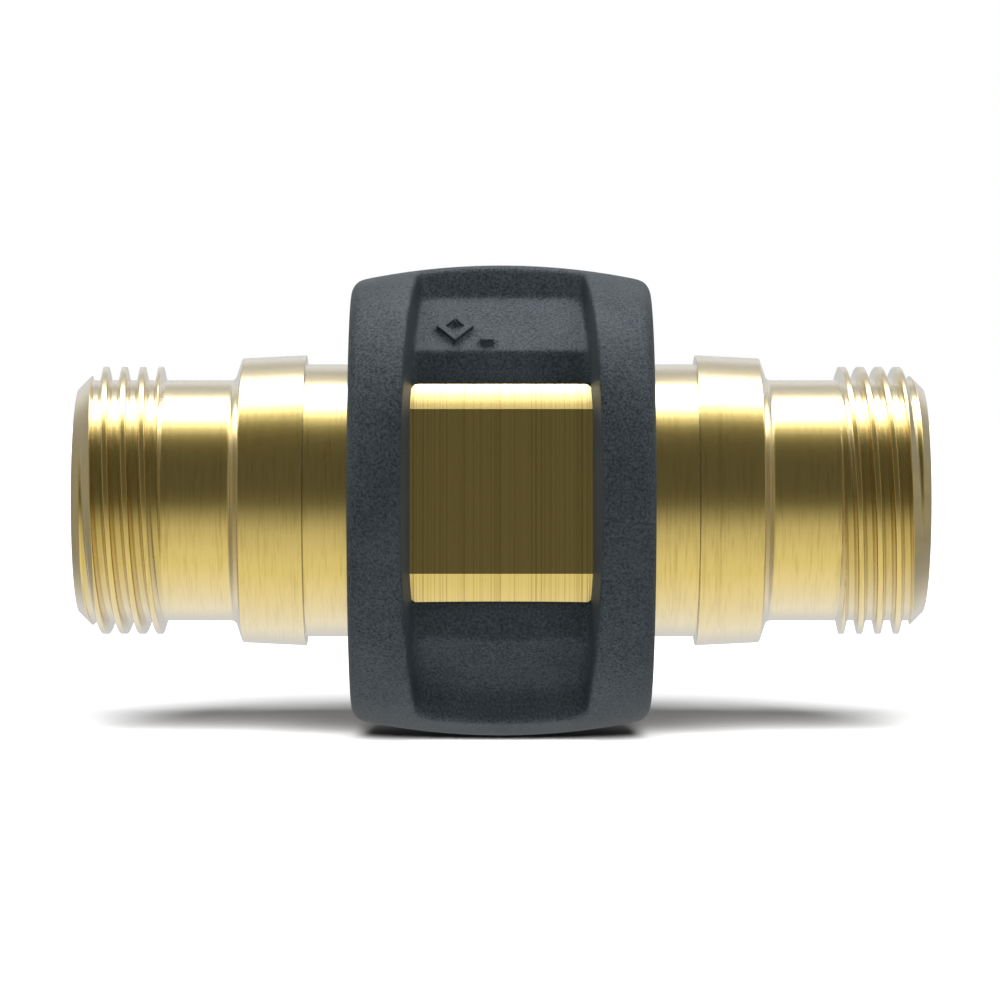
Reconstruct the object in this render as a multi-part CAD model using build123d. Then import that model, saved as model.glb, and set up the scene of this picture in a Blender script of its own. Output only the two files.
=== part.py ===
"""Double nipple that joins two high-pressure hoses, with a moulded grip ring round its flange.

The frame is +X along the hose line, -Y out of the labelled spanner window and +Z up. The origin is
on the axis, halfway between the two ends. All dimensions are in millimetres.
"""
import math
import os

from build123d import *

# Whole connector
OVERALL_LENGTH = 69.0

# Thread: two-start, trapezoidal, right-handed, 22 mm nominal, the same at both ends
THREAD_MAJOR_D = 21.9
THREAD_ROOT_D = 19.7
THREAD_STARTS = 2
THREAD_PITCH = 1.5              # from one crest to the next
THREAD_LEAD = THREAD_STARTS * THREAD_PITCH
CREST_WIDTH = 0.48
RIDGE_BASE_WIDTH = 0.94
RIDGE_SINK = 0.25               # how far a ridge runs into the core, so that the two fuse
FIRST_CREST_X = 27.85           # the innermost crest, where it passes the top of the body
THREAD_INNER_X = 27.3           # where the thread stops and the neck starts
RUNOUT_BEVEL = 0.35
END_CHAMFER = 1.75              # the lead-in cone of the thread, 45 degrees
END_FACE_D = 18.35

# Turned outside, from the thread inwards
NECK_D = 19.7
SHOULDER_FOOT_X = 21.7
SHOULDER_TOP_X = 21.1
SHOULDER_FILLET = 0.45
COLLAR_OUTER_D = 23.28          # the collar tapers: small at the thread side
COLLAR_INNER_D = 23.78
COLLAR_INNER_X = 15.9
WAIST_D = 22.3

# Round flange in the middle, with two milled flats for an open-ended spanner
FLANGE_D = 26.5
FLANGE_LENGTH = 19.8
FLANGE_BEVEL = 0.8
FLATS_ACROSS = 23.0

# Inside
SOCKET_D = 14.1                 # takes the plain nipple of a hose end and its O-ring
SOCKET_DEPTH = 17.0
SOCKET_MOUTH_D = 16.2
SOCKET_MOUTH_ANGLE = 30
PASSAGE_D = 9.0
DRILL_POINT_ANGLE = 118

# Grip ring
RING_WIDTH = 24.4
RING_D = 38.5
RING_CROWN_R = 55.5             # radius of the barrel's long curve
RING_CORNER_R = 1.3
RING_NECK_CLEARANCE = 0.05      # radial, over the waist

# Spanner windows in the ring. A depth is measured from the axis towards the window, a height
# from the axis towards the skin, and each point is (depth, height).
WINDOW_HALF_WIDTH = 6.23        # at the axis, before the draft
WINDOW_DRAFT = 5.25             # degrees, each side wall
LEDGE_FOOT_DEPTH = 10.1         # where the ledge beside the flat meets the flange
LABEL_LEDGE_TOP = (9.8, 11.4)   # where the ledge meets the label facet
LABEL_FOLD = (4.6, 16.1)        # where the facet meets the pocket's end wall
LABEL_SKIN_EDGE = (3.9, 18.85)  # where the end wall comes out through the skin
LABEL_CORNER_R = 1.0
PLAIN_LEDGE_TOP = (9.8, 11.9)   # the same for the pocket on the other side of the flat
PLAIN_FOLD = (5.7, 15.3)
PLAIN_SKIN_EDGE = (5.8, 18.4)
PLAIN_FOLD_R = 2.0
PLAIN_CORNER_R = 1.6

# Raised mark on the label facet: an upright diamond outline with a short bar beside its foot
DIAMOND_WIDTH = 3.0
DIAMOND_HEIGHT = 3.8
MARK_STROKE = 0.6
MARK_HEIGHT = 0.5
MARK_SINK = 0.3
MARK_CENTRE = (-3.7, -0.85)      # along the hose line, and up the facet from its middle
BAR_LENGTH = 1.1
BAR_GAP = 0.5

# Local frame of each turned end: its z runs outwards along the hose line, its x points up
RIGHT_END = Plane(origin=(0, 0, 0), x_dir=(0, 0, 1), z_dir=(1, 0, 0))
HALF_TURN = Rotation(0, 0, 180)
# Side view of the ring: its x is a depth towards the front window, its y a height
SIDE_VIEW = Plane(origin=(0, 0, 0), x_dir=(0, -1, 0), z_dir=(-1, 0, 0))

MARGIN = 5.0                    # how far a cutting shape reaches past what it cuts
REACH = RING_D / 2 + MARGIN
HALF_SWEEP = 20                 # degrees, enough for a bent cut to pass both sides of the ring
FOLD_DROP = 1.0                 # a bent fold is less than this lower at the side walls


def turned(points):
    """The solid of revolution about X of an outline given as (x, radius) points."""
    outline = Plane.XZ * make_face(Polyline(*points, close=True))
    return revolve(outline, axis=Axis.X)


def mirrored_profile(half):
    """An outline from the left end to the right end, from its points on the right half."""
    left = [(-x, radius) for x, radius in reversed(half)]
    return left + half


def body_core():
    """The turned outside of the body up to the thread's root, and the waist through the flange."""
    end_x = OVERALL_LENGTH / 2
    end_r = END_FACE_D / 2
    half = [
        (COLLAR_INNER_X, WAIST_D / 2),
        (COLLAR_INNER_X, COLLAR_INNER_D / 2),
        (SHOULDER_TOP_X, COLLAR_OUTER_D / 2),
        (SHOULDER_FOOT_X, NECK_D / 2),
        (end_x - (THREAD_ROOT_D / 2 - end_r), THREAD_ROOT_D / 2),
        (end_x, end_r),
        (end_x, 0),
    ]
    core = turned(mirrored_profile(half))
    feet = [
        edge
        for edge in core.edges().filter_by(GeomType.CIRCLE)
        if abs(abs(edge.center().X) - SHOULDER_FOOT_X) < 0.01
    ]
    return fillet(feet, SHOULDER_FILLET)


def flange():
    """The round flange, milled flat on the two sides that face the spanner windows."""
    radius = FLANGE_D / 2
    end_x = FLANGE_LENGTH / 2
    half = [(end_x - FLANGE_BEVEL, radius), (end_x, radius - FLANGE_BEVEL), (end_x, 0)]
    return turned(mirrored_profile(half)) & Box(FLANGE_LENGTH, FLATS_ACROSS, FLANGE_D)


def thread_envelope():
    """The space the ridges may fill at the right end: bevelled at the neck, chamfered at the end."""
    major_r = THREAD_MAJOR_D / 2
    root_r = THREAD_ROOT_D / 2
    end_x = OVERALL_LENGTH / 2
    inside_r = root_r - 2 * RIDGE_SINK
    return turned([
        (THREAD_INNER_X, inside_r),
        (THREAD_INNER_X, root_r),
        (THREAD_INNER_X + RUNOUT_BEVEL, major_r),
        (end_x - END_CHAMFER, major_r),
        (end_x, major_r - END_CHAMFER),
        (end_x, inside_r),
    ])


def thread_ridge():
    """One start of the right end's thread: a trapezoid swept along its helix, then trimmed."""
    root_r = THREAD_ROOT_D / 2
    major_r = THREAD_MAJOR_D / 2
    flank = (RIDGE_BASE_WIDTH - CREST_WIDTH) / 2 / (major_r - root_r)
    top_r = major_r + RIDGE_SINK
    bottom_r = root_r - RIDGE_SINK
    top_half = CREST_WIDTH / 2 - RIDGE_SINK * flank
    bottom_half = RIDGE_BASE_WIDTH / 2 + RIDGE_SINK * flank
    first_z = FIRST_CREST_X - THREAD_LEAD
    length = OVERALL_LENGTH / 2 + THREAD_PITCH - first_z
    path = Helix(pitch=THREAD_LEAD, height=length, radius=root_r, center=(0, 0, first_z))
    section = Plane.XZ * make_face(Polyline(
        (bottom_r, first_z - bottom_half),
        (top_r, first_z - top_half),
        (top_r, first_z + top_half),
        (bottom_r, first_z + bottom_half),
        close=True,
    ))
    return (RIGHT_END * sweep(section, path=path, is_frenet=True)) & thread_envelope()


def threads():
    """Every ridge of both ends. The starts share the turn evenly, and both ends are right-handed."""
    ridge = thread_ridge()
    right = [Rotation(360 * start / THREAD_STARTS, 0, 0) * ridge for start in range(THREAD_STARTS)]
    left = [HALF_TURN * ridge for ridge in right]
    return right + left


def passage_and_sockets():
    """Everything cut from the inside: the passage, and a sealing socket with a lead-in per end."""
    end_x = OVERALL_LENGTH / 2
    socket_end_x = end_x - SOCKET_DEPTH
    drill_cone = (SOCKET_D - PASSAGE_D) / 2 / math.tan(math.radians(DRILL_POINT_ANGLE / 2))
    mouth = (SOCKET_MOUTH_D - SOCKET_D) / 2 / math.tan(math.radians(SOCKET_MOUTH_ANGLE))
    half = [
        (socket_end_x - drill_cone, PASSAGE_D / 2),
        (socket_end_x, SOCKET_D / 2),
        (end_x - mouth, SOCKET_D / 2),
        (end_x, SOCKET_MOUTH_D / 2),
        (end_x + MARGIN, SOCKET_MOUTH_D / 2),
        (end_x + MARGIN, 0),
    ]
    return turned(mirrored_profile(half))


def brass_body():
    """The whole metal body: turned core, flange, a thread at each end, and the passage."""
    return body_core() + flange() + threads() - passage_and_sockets()


def barrel():
    """The ring before anything is cut from it."""
    half_width = RING_WIDTH / 2
    crown_h = RING_D / 2
    edge_h = crown_h - RING_CROWN_R + math.sqrt(RING_CROWN_R ** 2 - half_width ** 2)
    outline = (
        ThreePointArc((-half_width, edge_h), (0, crown_h), (half_width, edge_h))
        + Polyline((half_width, edge_h), (half_width, 0), (-half_width, 0), (-half_width, edge_h))
    )
    face = make_face(outline)
    face = fillet(face.vertices().group_by(Axis.Y)[-1], RING_CORNER_R)
    return revolve(Plane.XZ * face, axis=Axis.X)


def window_wedge():
    """The space between a window's two drafted side walls, open towards -Y and all heights high."""
    inner = WINDOW_HALF_WIDTH
    outer = inner + REACH * math.tan(math.radians(WINDOW_DRAFT))
    outline = Polyline((-inner, 0), (inner, 0), (outer, -REACH), (-outer, -REACH), close=True)
    return extrude(make_face(outline), REACH, both=True)


def bent_along_barrel(side_view):
    """A side view, as a face, swept across the ring parallel to the barrel's long curve."""
    crown = Axis((0, 0, RING_D / 2 - RING_CROWN_R), (0, 1, 0))
    return revolve(side_view.rotate(crown, -HALF_SWEEP), axis=crown, revolution_arc=2 * HALF_SWEEP)


def end_wall(fold, skin_edge):
    """Points from the fold, out through the skin, and back to the axis well outside the ring."""
    steps = (REACH - fold[1]) / (skin_edge[1] - fold[1])
    outside = (fold[0] + steps * (skin_edge[0] - fold[0]), REACH)
    return [fold, outside, (REACH, REACH), (REACH, 0)]


def side_view(points):
    """A face in the plane across the hose line, from (depth, height) points."""
    return SIDE_VIEW * make_face(Polyline(*points, close=True))


def pocket_points(ledge_top, fold, skin_edge):
    """The side view of a pocket: along the flange, up the ledge, down the facet, and out."""
    foot_height = math.sqrt((FLANGE_D / 2) ** 2 - LEDGE_FOOT_DEPTH ** 2)
    foot = [(LEDGE_FOOT_DEPTH, 0), (LEDGE_FOOT_DEPTH, foot_height)]
    return foot + [ledge_top] + end_wall(fold, skin_edge)


def rounded_corners(pocket, fold, radius):
    """The pocket with its corners rounded where its side walls meet its end wall."""
    corners = [
        edge
        for edge in pocket.edges()
        if abs(edge.center().X) > WINDOW_HALF_WIDTH
        and min(edge.position_at(0).Z, edge.position_at(1).Z) > fold[1] - FOLD_DROP
        and abs(edge.position_at(0).Z - edge.position_at(1).Z) > MARGIN
    ]
    return fillet(corners, radius)


def label_pocket():
    """The upper half of a window. Its facet is flat, to carry the mark; its end wall is bent."""
    outline = side_view(pocket_points(LABEL_LEDGE_TOP, LABEL_FOLD, LABEL_SKIN_EDGE))
    straight = extrude(outline, RING_WIDTH / 2, both=True)
    beyond = side_view([(0, 0), (0, LABEL_FOLD[1])] + end_wall(LABEL_FOLD, LABEL_SKIN_EDGE))
    pocket = window_wedge() & straight & bent_along_barrel(beyond)
    return rounded_corners(pocket, LABEL_FOLD, LABEL_CORNER_R)


def plain_pocket():
    """The lower half of a window, all of it bent along the barrel."""
    outline = side_view(pocket_points(PLAIN_LEDGE_TOP, PLAIN_FOLD, PLAIN_SKIN_EDGE))
    fold = outline.vertices().sort_by(Axis.Y)[-1]
    pocket = window_wedge() & bent_along_barrel(fillet(fold, PLAIN_FOLD_R))
    return mirror(rounded_corners(pocket, PLAIN_FOLD, PLAIN_CORNER_R), about=Plane.XY)


def diamond(share):
    """The mark's upright diamond, shrunk to this share of its size."""
    half_width = share * DIAMOND_WIDTH / 2
    half_height = share * DIAMOND_HEIGHT / 2
    corners = [(0, half_height), (half_width, 0), (0, -half_height), (-half_width, 0)]
    return make_face(Polyline(*corners, close=True))


def label_mark():
    """The raised mark, standing on the label facet."""
    fold_depth, fold_height = LABEL_FOLD
    top_depth, top_height = LABEL_LEDGE_TOP
    middle = (0, -(fold_depth + top_depth) / 2, (fold_height + top_height) / 2)
    outwards = (0, top_height - fold_height, top_depth - fold_depth)
    facet = Plane(origin=middle, x_dir=(1, 0, 0), z_dir=outwards)
    half_width = DIAMOND_WIDTH / 2
    half_height = DIAMOND_HEIGHT / 2
    inner_radius = half_width * half_height / math.hypot(half_width, half_height)
    outline = diamond(1) - diamond(1 - MARK_STROKE / inner_radius)
    bar_place = Pos(half_width + BAR_GAP + BAR_LENGTH / 2, (MARK_STROKE - DIAMOND_HEIGHT) / 2)
    sketch = outline + bar_place * Rectangle(BAR_LENGTH, MARK_STROKE)
    return extrude(facet * Pos(*MARK_CENTRE, -MARK_SINK) * sketch, MARK_SINK + MARK_HEIGHT)


def grip_ring():
    """The moulded ring: a barrel over the flange, with a window front and back."""
    waist_r = WAIST_D / 2 + RING_NECK_CLEARANCE
    side_x = RING_WIDTH / 2 + MARGIN
    cavity = flange() + turned(mirrored_profile([(side_x, waist_r), (side_x, 0)]))
    front = label_pocket() + plain_pocket() - label_mark()
    back = Rotation(180, 0, 0) * front
    return barrel() - cavity - front - back


def main():
    """Write each piece to its own STEP file."""
    os.makedirs("parts", exist_ok=True)
    export_step(brass_body(), "parts/brass_body.step")
    export_step(grip_ring(), "parts/grip_ring.step")


if __name__ == "__main__":
    main()
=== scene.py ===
import math

import bmesh
import bpy
from mathutils import Matrix, Vector
from mathutils.bvhtree import BVHTree


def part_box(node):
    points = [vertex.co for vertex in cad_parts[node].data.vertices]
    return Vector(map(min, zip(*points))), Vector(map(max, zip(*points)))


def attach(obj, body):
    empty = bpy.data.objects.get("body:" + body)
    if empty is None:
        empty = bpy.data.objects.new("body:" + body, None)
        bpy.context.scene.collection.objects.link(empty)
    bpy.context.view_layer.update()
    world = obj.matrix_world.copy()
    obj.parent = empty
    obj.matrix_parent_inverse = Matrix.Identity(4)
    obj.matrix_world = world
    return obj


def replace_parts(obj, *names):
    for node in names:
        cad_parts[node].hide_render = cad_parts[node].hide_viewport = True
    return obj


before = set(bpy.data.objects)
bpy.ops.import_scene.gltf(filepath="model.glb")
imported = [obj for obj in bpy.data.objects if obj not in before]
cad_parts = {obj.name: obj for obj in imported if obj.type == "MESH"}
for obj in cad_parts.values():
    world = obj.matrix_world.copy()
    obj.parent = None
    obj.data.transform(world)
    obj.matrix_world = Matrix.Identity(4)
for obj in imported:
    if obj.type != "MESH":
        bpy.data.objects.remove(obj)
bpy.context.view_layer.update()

MM = 0.001

# ---------------------------------------------------------------------------------------------
# Sizes of the brass body, as in part.py. They are in millimetres: x along the hose line from
# the middle, r from the axis.
# ---------------------------------------------------------------------------------------------
END_X = 34.5
END_FACE_R = 9.175
THREAD_INNER_X = 27.3
THREAD_MAJOR_R = 10.95
THREAD_ROOT_R = 9.85
THREAD_PITCH = 1.5
THREAD_LEAD = 3.0
FIRST_CREST_X = 27.85
CREST_HALF = 0.24
BASE_HALF = 0.47
RIDGE_SOFTNESS = 0.05           # how much the ridge's corners are rounded, along the hose line
RUNOUT_BEVEL = 0.35
NECK_R = 9.85
SHOULDER_FOOT_X = 21.7
SHOULDER_TOP_X = 21.1
COLLAR_OUTER_R = 11.64
COLLAR_INNER_R = 11.89
COLLAR_INNER_X = 15.9
WAIST_R = 11.15
FLANGE_R = 13.25
FLANGE_HALF = 9.9
FLANGE_BEVEL = 0.8
FLAT_DEPTH = 11.5
PASSAGE_R = 4.5
SOCKET_R = 7.05
SOCKET_END_X = 17.5
SOCKET_CONE_X = 15.97
MOUTH_X = 32.68
MOUTH_R = 8.1

# How finely the body is made
EDGE = 0.14                     # small rounding of a turned edge
FINE_EDGE = 0.05                # the same round a collar's inner face
SHOULDER_EDGE = 0.4             # and at the foot of a shoulder
EDGE_SHARE = 0.4                # the most of a side that its edge's rounding takes
EDGE_STEPS = 3                  # steps round each small edge
JOINT_GAP = 0.01                # keeps the thread's rows clear of the outlines beside them
END_FACE_GAP = 0.02             # the same at the end faces
COLUMNS = 216                   # steps round the axis
ROW_OFFSETS = [0, 0.1, 0.19, 0.23, 0.27, 0.31, 0.355, 0.4, 0.44, 0.48, 0.52, 0.63]
MERGE = 0.001                   # points nearer than this become one
CLEAR_ANGLE = math.radians(25)  # between faces that are shaded apart
LARGE_FACE_WEIGHT = 80          # how much large faces lead the shading
REACH = 115.0                   # further out than the body's side anywhere


def node(tree, kind, **settings):
    """A shader node with its settings and input values."""
    made = tree.nodes.new(kind)
    inputs = settings.pop("inputs", {})
    for name, value in settings.items():
        setattr(made, name, value)
    for name, value in inputs.items():
        made.inputs[name].default_value = value
    return made


def feed(tree, target, source):
    """Gives an input its value, which is another node's output or a constant."""
    if isinstance(source, bpy.types.NodeSocket):
        tree.links.new(source, target)
    else:
        target.default_value = source


def calculated(tree, operation, *sources):
    """The result of a sum on outputs and constants."""
    made = node(tree, "ShaderNodeMath", operation=operation)
    for target, source in zip(made.inputs, sources):
        feed(tree, target, source)
    return made.outputs[0]


def remapped(tree, source, from_range, to_range):
    """A value taken from one range to another, and kept within it."""
    made = node(tree, "ShaderNodeMapRange")
    for end, value in zip(("From Min", "From Max"), from_range):
        made.inputs[end].default_value = value
    for end, value in zip(("To Min", "To Max"), to_range):
        made.inputs[end].default_value = value
    tree.links.new(source, made.inputs["Value"])
    return made.outputs["Result"]


def mixed_values(tree, share, first, second):
    """A value that is this share of the way from the first to the second."""
    made = node(tree, "ShaderNodeMix", data_type="FLOAT")
    for place, source in zip((0, 2, 3), (share, first, second)):
        feed(tree, made.inputs[place], source)
    return made.outputs[0]


def mixed_colours(tree, share, first, second):
    """A colour that is this share of the way from the first to the second."""
    made = node(tree, "ShaderNodeMix", data_type="RGBA")
    for place, source in zip((0, 6, 7), (share, first, second)):
        feed(tree, made.inputs[place], source)
    return made.outputs[2]


def ramped(tree, source, stops):
    """The colour a ramp gives for a value. Its stops are (place, colour) pairs in order."""
    ramp = node(tree, "ShaderNodeValToRGB")
    elements = ramp.color_ramp.elements
    while len(elements) < len(stops):
        elements.new(1.0)
    for element, (place, colour) in zip(elements, stops):
        element.position = place
        element.color = (*colour, 1)
    tree.links.new(source, ramp.inputs["Fac"])
    return ramp.outputs["Color"]


def raised(tree, height, strength, distance):
    """The surface's direction, bumped by a height. The distance is in metres."""
    relief = node(tree, "ShaderNodeBump", inputs={"Strength": strength, "Distance": distance})
    tree.links.new(height, relief.inputs["Height"])
    return relief.outputs["Normal"]


# ---------------------------------------------------------------------------------------------
# Camera
# ---------------------------------------------------------------------------------------------
# The photograph looks a little up into the front window, and a little down on the floor.
CAMERA_BELOW_WINDOW = math.radians(3.6)
CAMERA_ABOVE_FLOOR = math.radians(1.6)
CAMERA_DISTANCE = 400 * MM
CAMERA_SIDE = -1.2 * MM
PICTURE_WIDTH = 82.0 * MM       # what the picture spans at the axis
CAMERA_SHIFT = (0.0138, 0.0004)
SENSOR_WIDTH = 36.0


def make_camera():
    """A long lens, level with the axis, turned with the floor about the hose line."""
    data = bpy.data.cameras.new("camera")
    data.sensor_width = SENSOR_WIDTH
    data.lens = SENSOR_WIDTH * CAMERA_DISTANCE / PICTURE_WIDTH
    data.shift_x, data.shift_y = CAMERA_SHIFT
    data.clip_start = 0.01
    data.clip_end = 50
    camera = bpy.data.objects.new("camera", data)
    place = Matrix.Translation((CAMERA_SIDE, -CAMERA_DISTANCE, 0))
    upright = Matrix.Rotation(math.radians(90), 4, "X")
    camera.matrix_world = Matrix.Rotation(CAMERA_BELOW_WINDOW, 4, "X") @ place @ upright
    bpy.context.scene.collection.objects.link(camera)
    bpy.context.scene.camera = camera


# ---------------------------------------------------------------------------------------------
# Brass body
# ---------------------------------------------------------------------------------------------
def rounded(points):
    """An open outline with its corners rounded, from (x, r, size of the rounding) points."""
    made = [points[0][:2]]
    for before, corner, after in zip(points, points[1:], points[2:]):
        size = corner[2]
        before, corner, after = (Vector(point[:2]) for point in (before, corner, after))
        start = corner + (before - corner) * min(EDGE_SHARE, size / (before - corner).length)
        end = corner + (after - corner) * min(EDGE_SHARE, size / (after - corner).length)
        for step in range(EDGE_STEPS + 1):
            share = step / EDGE_STEPS
            bend = start.lerp(corner, share).lerp(corner.lerp(end, share), share)
            made.append(tuple(bend))
    return made + [points[-1][:2]]


def mirrored(half):
    """The same outline on the left half, in reverse order."""
    return [(-x, r) for x, r in reversed(half)]


def bore_outline():
    """From the middle of the passage out to the right end face's outer edge."""
    return rounded([
        (0, PASSAGE_R, EDGE),
        (SOCKET_CONE_X, PASSAGE_R, EDGE),
        (SOCKET_END_X, SOCKET_R, EDGE),
        (MOUTH_X, SOCKET_R, EDGE),
        (END_X, MOUTH_R, EDGE),
        (END_X, END_FACE_R - END_FACE_GAP, EDGE),
    ])


def outside_outline():
    """From the right thread's inner end to the middle of the flange."""
    return rounded([
        (THREAD_INNER_X - JOINT_GAP, NECK_R, EDGE),
        (SHOULDER_FOOT_X, NECK_R, SHOULDER_EDGE),
        (SHOULDER_TOP_X, COLLAR_OUTER_R, EDGE),
        (COLLAR_INNER_X, COLLAR_INNER_R, FINE_EDGE),
        (COLLAR_INNER_X, WAIST_R, FINE_EDGE),
        (FLANGE_HALF, WAIST_R, EDGE),
        (FLANGE_HALF, FLANGE_R - FLANGE_BEVEL, EDGE),
        (FLANGE_HALF - FLANGE_BEVEL, FLANGE_R, EDGE),
        (0, FLANGE_R, EDGE),
    ])


def column_angles():
    """Angles round the axis from the top towards the front, one exactly on each flat's edge."""
    angles = [math.tau * column / COLUMNS for column in range(COLUMNS + 1)]
    half_flat = math.acos(FLAT_DEPTH / FLANGE_R)
    for middle in (math.tau / 4, 3 * math.tau / 4):
        for edge in (middle - half_flat, middle + half_flat):
            angles[round(edge / math.tau * COLUMNS)] = edge
    return angles


def thread_rows(first, last):
    """Rows across these ridges, as (distance from the first crest, distance from own crest)."""
    half = THREAD_PITCH / 2
    offsets = [-half] + [-offset for offset in reversed(ROW_OFFSETS[1:])] + ROW_OFFSETS
    return [
        (THREAD_PITCH * ridge + offset, offset)
        for ridge in range(first, last + 1)
        for offset in offsets
    ]


def thread_point(x, offset):
    """A point of the thread, this far along the hose line and this far from a crest."""
    slope = BASE_HALF - CREST_HALF + 2 * RIDGE_SOFTNESS
    share = min(1, max(0, (BASE_HALF + RIDGE_SOFTNESS - abs(offset)) / slope))
    ridge = THREAD_ROOT_R + (THREAD_MAJOR_R - THREAD_ROOT_R) * share * share * (3 - 2 * share)
    runout_slope = (THREAD_MAJOR_R - THREAD_ROOT_R) / RUNOUT_BEVEL
    runout = THREAD_ROOT_R + (abs(x) - THREAD_INNER_X) * runout_slope
    chamfer = END_FACE_R + END_X - abs(x)
    return x, min(ridge, runout, chamfer)


def held(value, low, high):
    """The value, kept between two others."""
    return min(high, max(low, value))


RIGHT_ROWS = list(reversed(thread_rows(-3, 4)))
LEFT_ROWS = thread_rows(-1, 7)
BORE = bore_outline()
OUTSIDE = outside_outline()


def body_section(angle):
    """The body's closed outline at this angle: right bore, right thread, outside, and so back."""
    lead = THREAD_LEAD * angle / math.tau
    right = [
        thread_point(held(FIRST_CREST_X + along + lead, THREAD_INNER_X, END_X), offset)
        for along, offset in RIGHT_ROWS
    ]
    left = [
        thread_point(held(lead - FIRST_CREST_X - along, -END_X, -THREAD_INNER_X), offset)
        for along, offset in LEFT_ROWS
    ]
    flat_r = FLAT_DEPTH / max(abs(math.sin(angle)), FLAT_DEPTH / REACH)
    outside = [(x, min(r, flat_r) if x < FLANGE_HALF + EDGE else r) for x, r in OUTSIDE]
    return BORE + right + outside + mirrored(outside)[1:] + left + mirrored(BORE)[:-1]


def on_flange_corner(edge):
    """Whether an edge is where two faces of the flange meet at a clear angle."""
    within = all(abs(vertex.co.x) < (FLANGE_HALF + EDGE) * MM for vertex in edge.verts)
    outside = all(math.hypot(vertex.co.y, vertex.co.z) > WAIST_R * MM for vertex in edge.verts)
    return within and outside and edge.calc_face_angle(0) > CLEAR_ANGLE


def link_mesh(name, mesh_builder):
    """A new object from a bmesh."""
    mesh = bpy.data.meshes.new(name)
    mesh_builder.to_mesh(mesh)
    mesh_builder.free()
    made = bpy.data.objects.new(name, mesh)
    bpy.context.scene.collection.objects.link(made)
    return made


def make_body():
    """The whole body as one skin: a section for each angle, joined to the next."""
    builder = bmesh.new()
    columns = []
    for angle in column_angles():
        sine, cosine = math.sin(angle), math.cos(angle)
        columns.append([
            builder.verts.new((x * MM, -r * sine * MM, r * cosine * MM))
            for x, r in body_section(angle)
        ])
    rows = len(columns[0])
    for here, there in zip(columns, columns[1:]):
        for row in range(rows):
            above = (row + 1) % rows
            builder.faces.new((here[row], here[above], there[above], there[row]))
    bmesh.ops.remove_doubles(builder, verts=builder.verts, dist=MERGE * MM)
    bmesh.ops.recalc_face_normals(builder, faces=builder.faces)
    for face in builder.faces:
        face.smooth = True
    for edge in builder.edges:
        edge.smooth = not on_flange_corner(edge)
    body = link_mesh("turned_brass_body", builder)
    weighted = body.modifiers.new("even shading", "WEIGHTED_NORMAL")
    weighted.keep_sharp = True
    weighted.weight = LARGE_FACE_WEIGHT
    body.data.materials.append(brass_material())
    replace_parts(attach(body, "root"), "brass_body")
    return body


BRASS = (0.86, 0.655, 0.21)
BRASS_DARK_LINE = (0.60, 0.44, 0.12)
BRASS_EDGE = (0.97, 0.95, 0.90)  # at grazing angles
# Painted shade: down in the thread's grooves, where the ridges shade each other, the brass is mixed
# towards this darker colour
PAINTED_GROOVE_SHADE = (0.62, 0.47, 0.14)
GROOVE_SHADE_STRENGTH = 0.6           # share of the painted groove shade where it is darkest
FULL_SHADE_BELOW_R = 10.3             # where the painted shade in the grooves is darkest, and where it ends
UNSHADED_ABOVE_R = 10.8
CHAMFER_CLEARANCE = 0.15        # how far under the end chamfer the painted groove shade stops
FINE_LINES = 5200               # noise cells in a metre
BROAD_LINES = 900
ROUND_CELLS = 340               # the same along the line of a stroke
BROAD_SHARE = 0.3               # of the broad lines in the whole
MIDDLE_HEIGHT = 0.5             # of every noise
FLANGE_CLEARANCE = 0.2          # how far past the flange its finish reaches
FLANGE_BROKENNESS = 0.1
OUTER_BROKENNESS = 0.85
FLANGE_BOLDNESS = 1.0
OUTER_BOLDNESS = 0.42
BRASS_ROUGHNESS = (0.27, 0.12)  # in the lows and on the highs of the lines


def body_places(tree):
    """Where a point of the body is, as outputs.

    These are its y and z, its distance to the side (|x|) and from the axis, whether it is past
    the flange, and its place across the tool lines. The lines run across x on the outside, and
    across r on the end faces.
    """
    coords = node(tree, "ShaderNodeTexCoord")
    parts = node(tree, "ShaderNodeSeparateXYZ")
    tree.links.new(coords.outputs["Object"], parts.inputs["Vector"])
    x, y, z = (parts.outputs[name] for name in "XYZ")
    off_axis = node(tree, "ShaderNodeCombineXYZ")
    tree.links.new(y, off_axis.inputs["Y"])
    tree.links.new(z, off_axis.inputs["Z"])
    length = node(tree, "ShaderNodeVectorMath", operation="LENGTH")
    tree.links.new(off_axis.outputs["Vector"], length.inputs[0])
    radius = length.outputs["Value"]
    side = calculated(tree, "ABSOLUTE", x)
    past_flange = calculated(tree, "GREATER_THAN", side, (FLANGE_HALF + FLANGE_CLEARANCE) * MM)
    across = calculated(tree, "MULTIPLY_ADD", radius, past_flange, x)
    return {"y": y, "z": z, "side": side, "radius": radius, "past_flange": past_flange, "across": across}


def long_lines(tree, across, cells, detail, roughness):
    """Lines that run all the way round, from a one-dimensional noise."""
    lines = node(tree, "ShaderNodeTexNoise", noise_dimensions="1D",
                 inputs={"Scale": cells, "Detail": detail, "Roughness": roughness})
    tree.links.new(across, lines.inputs["W"])
    return lines.outputs["Fac"]


def short_strokes(tree, place):
    """The fine lines again, broken up round the axis."""
    stretched = node(tree, "ShaderNodeCombineXYZ")
    cells = {"X": ("across", FINE_LINES), "Y": ("y", ROUND_CELLS), "Z": ("z", ROUND_CELLS)}
    for axis, (name, count) in cells.items():
        scaled = calculated(tree, "MULTIPLY", place[name], float(count))
        tree.links.new(scaled, stretched.inputs[axis])
    strokes = node(tree, "ShaderNodeTexNoise", inputs={"Scale": 1.0, "Detail": 2.0, "Roughness": 0.6})
    tree.links.new(stretched.outputs["Vector"], strokes.inputs["Vector"])
    return strokes.outputs["Fac"]


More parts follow.
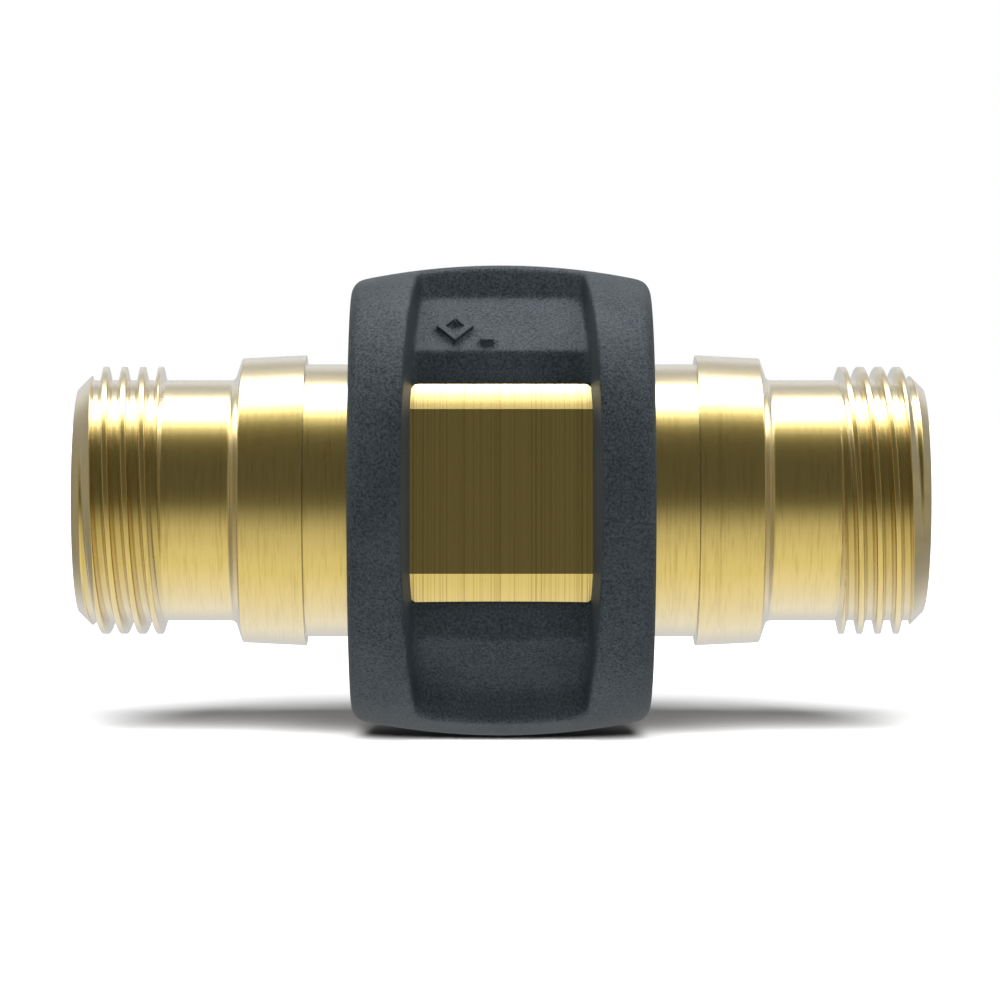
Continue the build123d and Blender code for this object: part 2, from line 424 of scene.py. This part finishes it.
def tool_lines(tree, place):
    """How high the tool lines stand: long and bold on the flange, broken and faint past it."""
    fine = long_lines(tree, place["across"], FINE_LINES, 3.0, 0.7)
    broad = long_lines(tree, place["across"], BROAD_LINES, 2.0, 0.5)
    brokenness = remapped(tree, place["past_flange"], (0, 1), (FLANGE_BROKENNESS, OUTER_BROKENNESS))
    lines = mixed_values(tree, brokenness, fine, short_strokes(tree, place))
    both = mixed_values(tree, BROAD_SHARE, lines, broad)
    boldness = remapped(tree, place["past_flange"], (0, 1), (FLANGE_BOLDNESS, OUTER_BOLDNESS))
    return mixed_values(tree, boldness, MIDDLE_HEIGHT, both)


def with_painted_groove_shade(tree, place, tone):
    """The brass colour with painted shade down in the thread's grooves, darker the deeper, but not on the
    end chamfer.
    """
    in_thread = calculated(tree, "GREATER_THAN", place["side"], THREAD_INNER_X * MM)
    reach = calculated(tree, "ADD", place["side"], place["radius"])
    chamfer_reach = (END_X + END_FACE_R - CHAMFER_CLEARANCE) * MM
    off_chamfer = calculated(tree, "LESS_THAN", reach, chamfer_reach)
    # how much painted shade, from none near the crests to the most at the groove bottoms
    depth = remapped(tree, place["radius"], (FULL_SHADE_BELOW_R * MM, UNSHADED_ABOVE_R * MM), (GROOVE_SHADE_STRENGTH, 0))
    in_groove = calculated(tree, "MULTIPLY", in_thread, off_chamfer)
    painted_shade = calculated(tree, "MULTIPLY", in_groove, depth)
    return mixed_colours(tree, painted_shade, tone, (*PAINTED_GROOVE_SHADE, 1))


def brass_material():
    """Turned brass: fine tool lines in colour, gloss and relief, painted shade down in the thread's
    grooves, and pale at grazing angles.
    """
    material = bpy.data.materials.new("turned brass")
    material.use_nodes = True
    tree = material.node_tree
    shader = tree.nodes["Principled BSDF"]
    place = body_places(tree)
    lines = tool_lines(tree, place)
    tone = ramped(tree, lines, [(0.38, BRASS_DARK_LINE), (0.51, BRASS)])
    facing = node(tree, "ShaderNodeLayerWeight", inputs={"Blend": 0.5})
    paleness = remapped(tree, facing.outputs["Facing"], (0.15, 1.0), (0, 1))
    # the brass colour with painted shade in the thread's grooves
    colour_with_groove_shade = with_painted_groove_shade(tree, place, tone)
    colour = mixed_colours(tree, paleness, colour_with_groove_shade, (*BRASS_EDGE, 1))
    feed(tree, shader.inputs["Base Color"], colour)
    feed(tree, shader.inputs["Roughness"], remapped(tree, lines, (0.3, 0.7), BRASS_ROUGHNESS))
    feed(tree, shader.inputs["Normal"], raised(tree, lines, 0.5, 0.006 * MM))
    feed(tree, shader.inputs["Metallic"], 1.0)
    return material


# ---------------------------------------------------------------------------------------------
# Grip ring
# ---------------------------------------------------------------------------------------------
RUBBER_CELL = 0.27              # millimetres between the points of the ring's skin
RUBBER_SMOOTHING = 5            # passes
BRASS_REACH = 0.8               # how near the flange the skin keeps its edges
TOUCHING = 0.3                  # how near the flange a point has to be to lie against it
RUBBER_SQUEEZE = 0.12           # how far the rubber presses on the flange


def even_skin():
    """The CAD ring's solid under an even net of points, and its true surface for looking up."""
    builder = bmesh.new()
    builder.from_mesh(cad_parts["grip_ring"].data)
    bmesh.ops.remove_doubles(builder, verts=builder.verts, dist=MERGE * MM)
    true_surface = BVHTree.FromBMesh(builder)
    solid = link_mesh("grip_ring_solid", builder)
    skin = solid.modifiers.new("even skin", "REMESH")
    skin.mode = "VOXEL"
    skin.voxel_size = RUBBER_CELL * MM
    skin.use_smooth_shade = True
    evaluated = solid.evaluated_get(bpy.context.evaluated_depsgraph_get())
    mesh = bpy.data.meshes.new_from_object(evaluated)
    bpy.data.objects.remove(solid)
    return mesh, true_surface


def flange_gap(point):
    """How far a point is from the flange, and the way towards it."""
    radial = Vector((0, point.y, point.z))
    beyond_round = radial.length - FLANGE_R * MM
    beyond_flat = abs(point.y) - FLAT_DEPTH * MM
    beyond_side = abs(point.x) - FLANGE_HALF * MM
    if beyond_flat > beyond_round:
        inwards = Vector((0, -math.copysign(1, point.y), 0))
    else:
        inwards = -radial.normalized()
    return max(beyond_round, beyond_flat, beyond_side), inwards


def make_ring():
    """The ring as a moulding: its own shape with softened edges, but tight on the flange."""
    mesh, true_surface = even_skin()
    mesh.materials.clear()
    mesh.materials.append(rubber_material())
    ring = bpy.data.objects.new("moulded_grip_ring", mesh)
    bpy.context.scene.collection.objects.link(ring)
    free = ring.vertex_groups.new(name="free")
    for vertex in mesh.vertices:
        gap, inwards = flange_gap(vertex.co)
        if gap > BRASS_REACH * MM:
            free.add([vertex.index], 1.0, "REPLACE")
            continue
        vertex.co = true_surface.find_nearest(vertex.co)[0]
        if abs(vertex.co.x) < FLANGE_HALF * MM and gap < TOUCHING * MM:
            vertex.co += inwards * RUBBER_SQUEEZE * MM
    soft = ring.modifiers.new("soft edges", "SMOOTH")
    soft.vertex_group = free.name
    soft.factor = 0.5
    soft.iterations = RUBBER_SMOOTHING
    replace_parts(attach(ring, "root"), "grip_ring")
    return ring


# The label facet of a window, as (depth, height) of its two edges, and the mark on it
LEDGE_TOP = (9.8, 11.4)
FOLD = (4.6, 16.1)
MARK_CENTRE = (-3.7, -0.85)
DIAMOND_SIZE = (3.0, 3.8)
MARK_STROKE = 0.6
MARK_SINK = 0.3
MARK_HEIGHT = 0.55
MARK_EDGE = 0.09                # rounding of the mark's edges
BAR_LENGTH = 1.1
BAR_GAP = 0.5


def add_prism(builder, outer, inner):
    """Adds a raised outline, between an outer and an inner loop of points."""
    low, high = -MARK_SINK, MARK_HEIGHT
    loops = []
    for loop in (outer, inner):
        for level in (low, high):
            loops.append([builder.verts.new((x, y, level)) for x, y in loop])
    outer_low, outer_high, inner_low, inner_high = loops
    round_trip = [outer_low, outer_high, inner_high, inner_low, outer_low]
    count = len(outer)
    for first, second in zip(round_trip, round_trip[1:]):
        for index in range(count):
            after = (index + 1) % count
            builder.faces.new((first[index], first[after], second[after], second[index]))


def add_block(builder, centre, size):
    """Adds a raised bar."""
    depth = MARK_SINK + MARK_HEIGHT
    middle = (MARK_HEIGHT - MARK_SINK) / 2
    place = Matrix.Translation((centre[0], centre[1], middle))
    shape = Matrix.Diagonal((size[0], size[1], depth, 1))
    bmesh.ops.create_cube(builder, size=1, matrix=place @ shape)


def diamond(share):
    """The corners of the mark's diamond, shrunk to this share of its size."""
    half_width, half_height = (share * size / 2 for size in DIAMOND_SIZE)
    return [(0, half_height), (half_width, 0), (0, -half_height), (-half_width, 0)]


def make_mark(name, turn):
    """The raised mark of one window: a diamond outline and a short bar, on the label facet."""
    half_width, half_height = DIAMOND_SIZE[0] / 2, DIAMOND_SIZE[1] / 2
    inner_radius = half_width * half_height / math.hypot(half_width, half_height)
    builder = bmesh.new()
    add_prism(builder, diamond(1), diamond(1 - MARK_STROKE / inner_radius))
    bar_centre = (half_width + BAR_GAP + BAR_LENGTH / 2, MARK_STROKE / 2 - half_height)
    add_block(builder, bar_centre, (BAR_LENGTH, MARK_STROKE))
    bmesh.ops.recalc_face_normals(builder, faces=builder.faces)
    middle = Vector((0, -(LEDGE_TOP[0] + FOLD[0]) / 2, (LEDGE_TOP[1] + FOLD[1]) / 2))
    up = Vector((0, LEDGE_TOP[0] - FOLD[0], FOLD[1] - LEDGE_TOP[1])).normalized()
    sideways = Vector((1, 0, 0))
    facet = Matrix((sideways, up, sideways.cross(up))).transposed().to_4x4()
    facet.translation = middle
    place = Matrix.Rotation(turn, 4, "X") @ Matrix.Scale(MM, 4) @ facet
    builder.transform(place @ Matrix.Translation((*MARK_CENTRE, 0)))
    mark = link_mesh(name, builder)
    edge = mark.modifiers.new("soft edges", "BEVEL")
    edge.width = MARK_EDGE * MM
    edge.segments = EDGE_STEPS
    mark.data.materials.append(bpy.data.materials["grained rubber"])
    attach(mark, "root")


RUBBER = (0.043, 0.055, 0.064)
RUBBER_DARK = (0.027, 0.036, 0.043)
RUBBER_PALE = (0.068, 0.084, 0.095)
RUBBER_SHEEN = (0.88, 0.95, 1.0)
GRAIN_CELLS = 5200              # noise cells in a metre
CLOUD_CELLS = 180.0             # the same for slow changes of tone
CLOUD_SHARE = 0.2
RUBBER_ROUGHNESS = (0.5, 0.68)  # in the lows and on the highs of the grain
RUBBER_SPARKLE = (0.08, 0.76)   # how strongly they shine


def rubber_material():
    """Slate rubber with a fine moulded grain, a little uneven in colour, gloss and sparkle."""
    material = bpy.data.materials.new("grained rubber")
    material.use_nodes = True
    tree = material.node_tree
    shader = tree.nodes["Principled BSDF"]
    coords = node(tree, "ShaderNodeTexCoord")
    grain = node(tree, "ShaderNodeTexNoise",
                 inputs={"Scale": GRAIN_CELLS, "Detail": 3.0, "Roughness": 0.65})
    clouds = node(tree, "ShaderNodeTexNoise", inputs={"Scale": CLOUD_CELLS, "Detail": 2.0})
    for noise in (grain, clouds):
        tree.links.new(coords.outputs["Object"], noise.inputs["Vector"])
    both = mixed_values(tree, CLOUD_SHARE, grain.outputs["Fac"], clouds.outputs["Fac"])
    tone = ramped(tree, both, [(0.35, RUBBER_DARK), (0.5, RUBBER), (0.66, RUBBER_PALE)])
    feed(tree, shader.inputs["Base Color"], tone)
    feed(tree, shader.inputs["Roughness"], remapped(tree, both, (0.35, 0.65), RUBBER_ROUGHNESS))
    feed(tree, shader.inputs["Normal"], raised(tree, grain.outputs["Fac"], 0.75, 0.03 * MM))
    feed(tree, shader.inputs["Specular IOR Level"], remapped(tree, both, (0.36, 0.64), RUBBER_SPARKLE))
    feed(tree, shader.inputs["Specular Tint"], (*RUBBER_SHEEN, 1))
    return material


# ---------------------------------------------------------------------------------------------
# Studio
# ---------------------------------------------------------------------------------------------
# Brightness of the studio by angle, as level with the camera: 0 is level in front, 90 overhead,
# 180 level behind and -90 straight down. A softbox hangs overhead, and the floor is bright.
PEAK = 6.0
STUDIO = [
    (-180, 0.60), (-150, 0.68), (-125, 0.90), (-80, 0.90), (-50, 0.80), (-26, 0.60),
    (-14, 0.36), (-3, 0.15), (8, 0.105), (38, 0.10), (50, 0.115), (58, 0.15), (64, 0.26),
    (71, 0.63), (77, 1.6), (84, 3.6), (90, PEAK), (108, PEAK), (114, 1.6), (120, 0.7), (136, 0.45),
    (150, 0.75), (180, 0.60),
]
SIDE_LEVEL = 0.30               # towards either end of the hose line
SIDE_FROM = 0.4                 # how far to a side it starts, and where it is all there is
SIDE_FULL = 0.9

# The same room as matt surfaces see it: softer, so that the rubber isn't lit from overhead only
MATT_STUDIO = [
    (-180, 0.22), (-125, 0.10), (-50, 0.08), (-14, 0.10), (8, 0.26), (50, 0.36), (71, 0.60),
    (84, 1.75), (108, 1.75), (120, 0.4), (180, 0.22),
]


def studio_stops(levels):
    """Ramp stops from levels by angle, as shares of the peak."""
    return [((degrees + 180) / 360, [level / PEAK] * 3) for degrees, level in levels]


def studio_directions(tree):
    """The angle in STUDIO of a direction, as a share of the full turn, and how far it is to a side."""
    coords = node(tree, "ShaderNodeTexCoord")
    turn = node(tree, "ShaderNodeVectorRotate", rotation_type="X_AXIS",
                inputs={"Angle": -CAMERA_BELOW_WINDOW})
    parts = node(tree, "ShaderNodeSeparateXYZ")
    tree.links.new(coords.outputs["Generated"], turn.inputs["Vector"])
    tree.links.new(turn.outputs["Vector"], parts.inputs["Vector"])
    front = calculated(tree, "MULTIPLY", parts.outputs["Y"], -1.0)
    angle = calculated(tree, "ARCTAN2", parts.outputs["Z"], front)
    sideways = calculated(tree, "ABSOLUTE", parts.outputs["X"])
    return remapped(tree, angle, (-math.pi, math.pi), (0, 1)), sideways


def studio_light(tree, path):
    """The studio's colour in a direction: one for matt surfaces, and one for all else."""
    share, sideways = studio_directions(tree)
    to_side = node(tree, "ShaderNodeMapRange", interpolation_type="SMOOTHSTEP",
                   inputs={"From Min": SIDE_FROM, "From Max": SIDE_FULL})
    tree.links.new(sideways, to_side.inputs["Value"])
    side_colour = (*[SIDE_LEVEL / PEAK] * 3, 1)
    round_studio = ramped(tree, share, studio_stops(STUDIO))
    glossy = mixed_colours(tree, to_side.outputs["Result"], round_studio, side_colour)
    matt = ramped(tree, share, studio_stops(MATT_STUDIO))
    return mixed_colours(tree, path.outputs["Is Diffuse Ray"], glossy, matt)


def make_world():
    """A white room for the camera, and the studio for all else."""
    world = bpy.data.worlds.new("studio")
    bpy.context.scene.world = world
    world.use_nodes = True
    world.cycles.sampling_method = "NONE"
    tree = world.node_tree
    tree.nodes.clear()
    path = node(tree, "ShaderNodeLightPath")
    studio = node(tree, "ShaderNodeBackground", inputs={"Strength": PEAK})
    feed(tree, studio.inputs["Color"], studio_light(tree, path))
    white = node(tree, "ShaderNodeBackground", inputs={"Color": (1, 1, 1, 1), "Strength": 1.0})
    mix = node(tree, "ShaderNodeMixShader")
    out = node(tree, "ShaderNodeOutputWorld")
    tree.links.new(path.outputs["Is Camera Ray"], mix.inputs["Fac"])
    tree.links.new(studio.outputs[0], mix.inputs[1])
    tree.links.new(white.outputs[0], mix.inputs[2])
    tree.links.new(mix.outputs[0], out.inputs["Surface"])


SUN_STRENGTH = 40.0
SUN_SOFTNESS = math.radians(42)
SUN_HEIGHT = math.radians(35)   # above the floor, in front


def make_sun(floor):
    """A soft light from above the camera. It lights the floor, where it throws the shadow back."""
    data = bpy.data.lights.new("key light", "SUN")
    data.energy = SUN_STRENGTH
    data.angle = SUN_SOFTNESS
    sun = bpy.data.objects.new("key light", data)
    sun.matrix_world = Matrix.Rotation(FLOOR_TILT + math.radians(90) - SUN_HEIGHT, 4, "X")
    lit = bpy.data.collections.new("lit by the key light")
    lit.objects.link(floor)
    sun.light_linking.receiver_collection = lit
    bpy.context.scene.collection.objects.link(sun)


FLOOR_TILT = CAMERA_BELOW_WINDOW + CAMERA_ABOVE_FLOOR
FLOOR_HALF = 2.0                # metres
FLOOR_ALBEDO = 0.10             # as the object sees it
FLOOR_GAIN = 0.20               # as the camera sees it, so that it stays white


def make_floor():
    """A pale floor that touches the ring's lowest line."""
    ring_low, ring_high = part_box("grip_ring")
    drop = (ring_high.z - ring_low.z) / 2
    mesh = bpy.data.meshes.new("floor")
    corners = [(x * FLOOR_HALF, y * FLOOR_HALF, 0) for x, y in ((-1, -1), (1, -1), (1, 1), (-1, 1))]
    mesh.from_pydata(corners, [], [(0, 1, 2, 3)])
    floor = bpy.data.objects.new("floor", mesh)
    floor.matrix_world = Matrix.Rotation(FLOOR_TILT, 4, "X") @ Matrix.Translation((0, 0, -drop))
    floor.visible_glossy = False
    bpy.context.scene.collection.objects.link(floor)
    material = bpy.data.materials.new("floor")
    material.use_nodes = True
    tree = material.node_tree
    tree.nodes.clear()
    path = node(tree, "ShaderNodeLightPath")
    matt = node(tree, "ShaderNodeBsdfDiffuse")
    out = node(tree, "ShaderNodeOutputMaterial")
    level = remapped(tree, path.outputs["Is Camera Ray"], (0, 1), (FLOOR_ALBEDO, FLOOR_GAIN))
    tree.links.new(level, matt.inputs["Color"])
    tree.links.new(matt.outputs[0], out.inputs["Surface"])
    mesh.materials.append(material)
    return floor


make_camera()
make_body()
make_ring()
make_mark("front_mark", 0)
make_mark("back_mark", math.pi)
make_world()
make_sun(make_floor())
bpy.context.scene.view_settings.view_transform = "Standard"
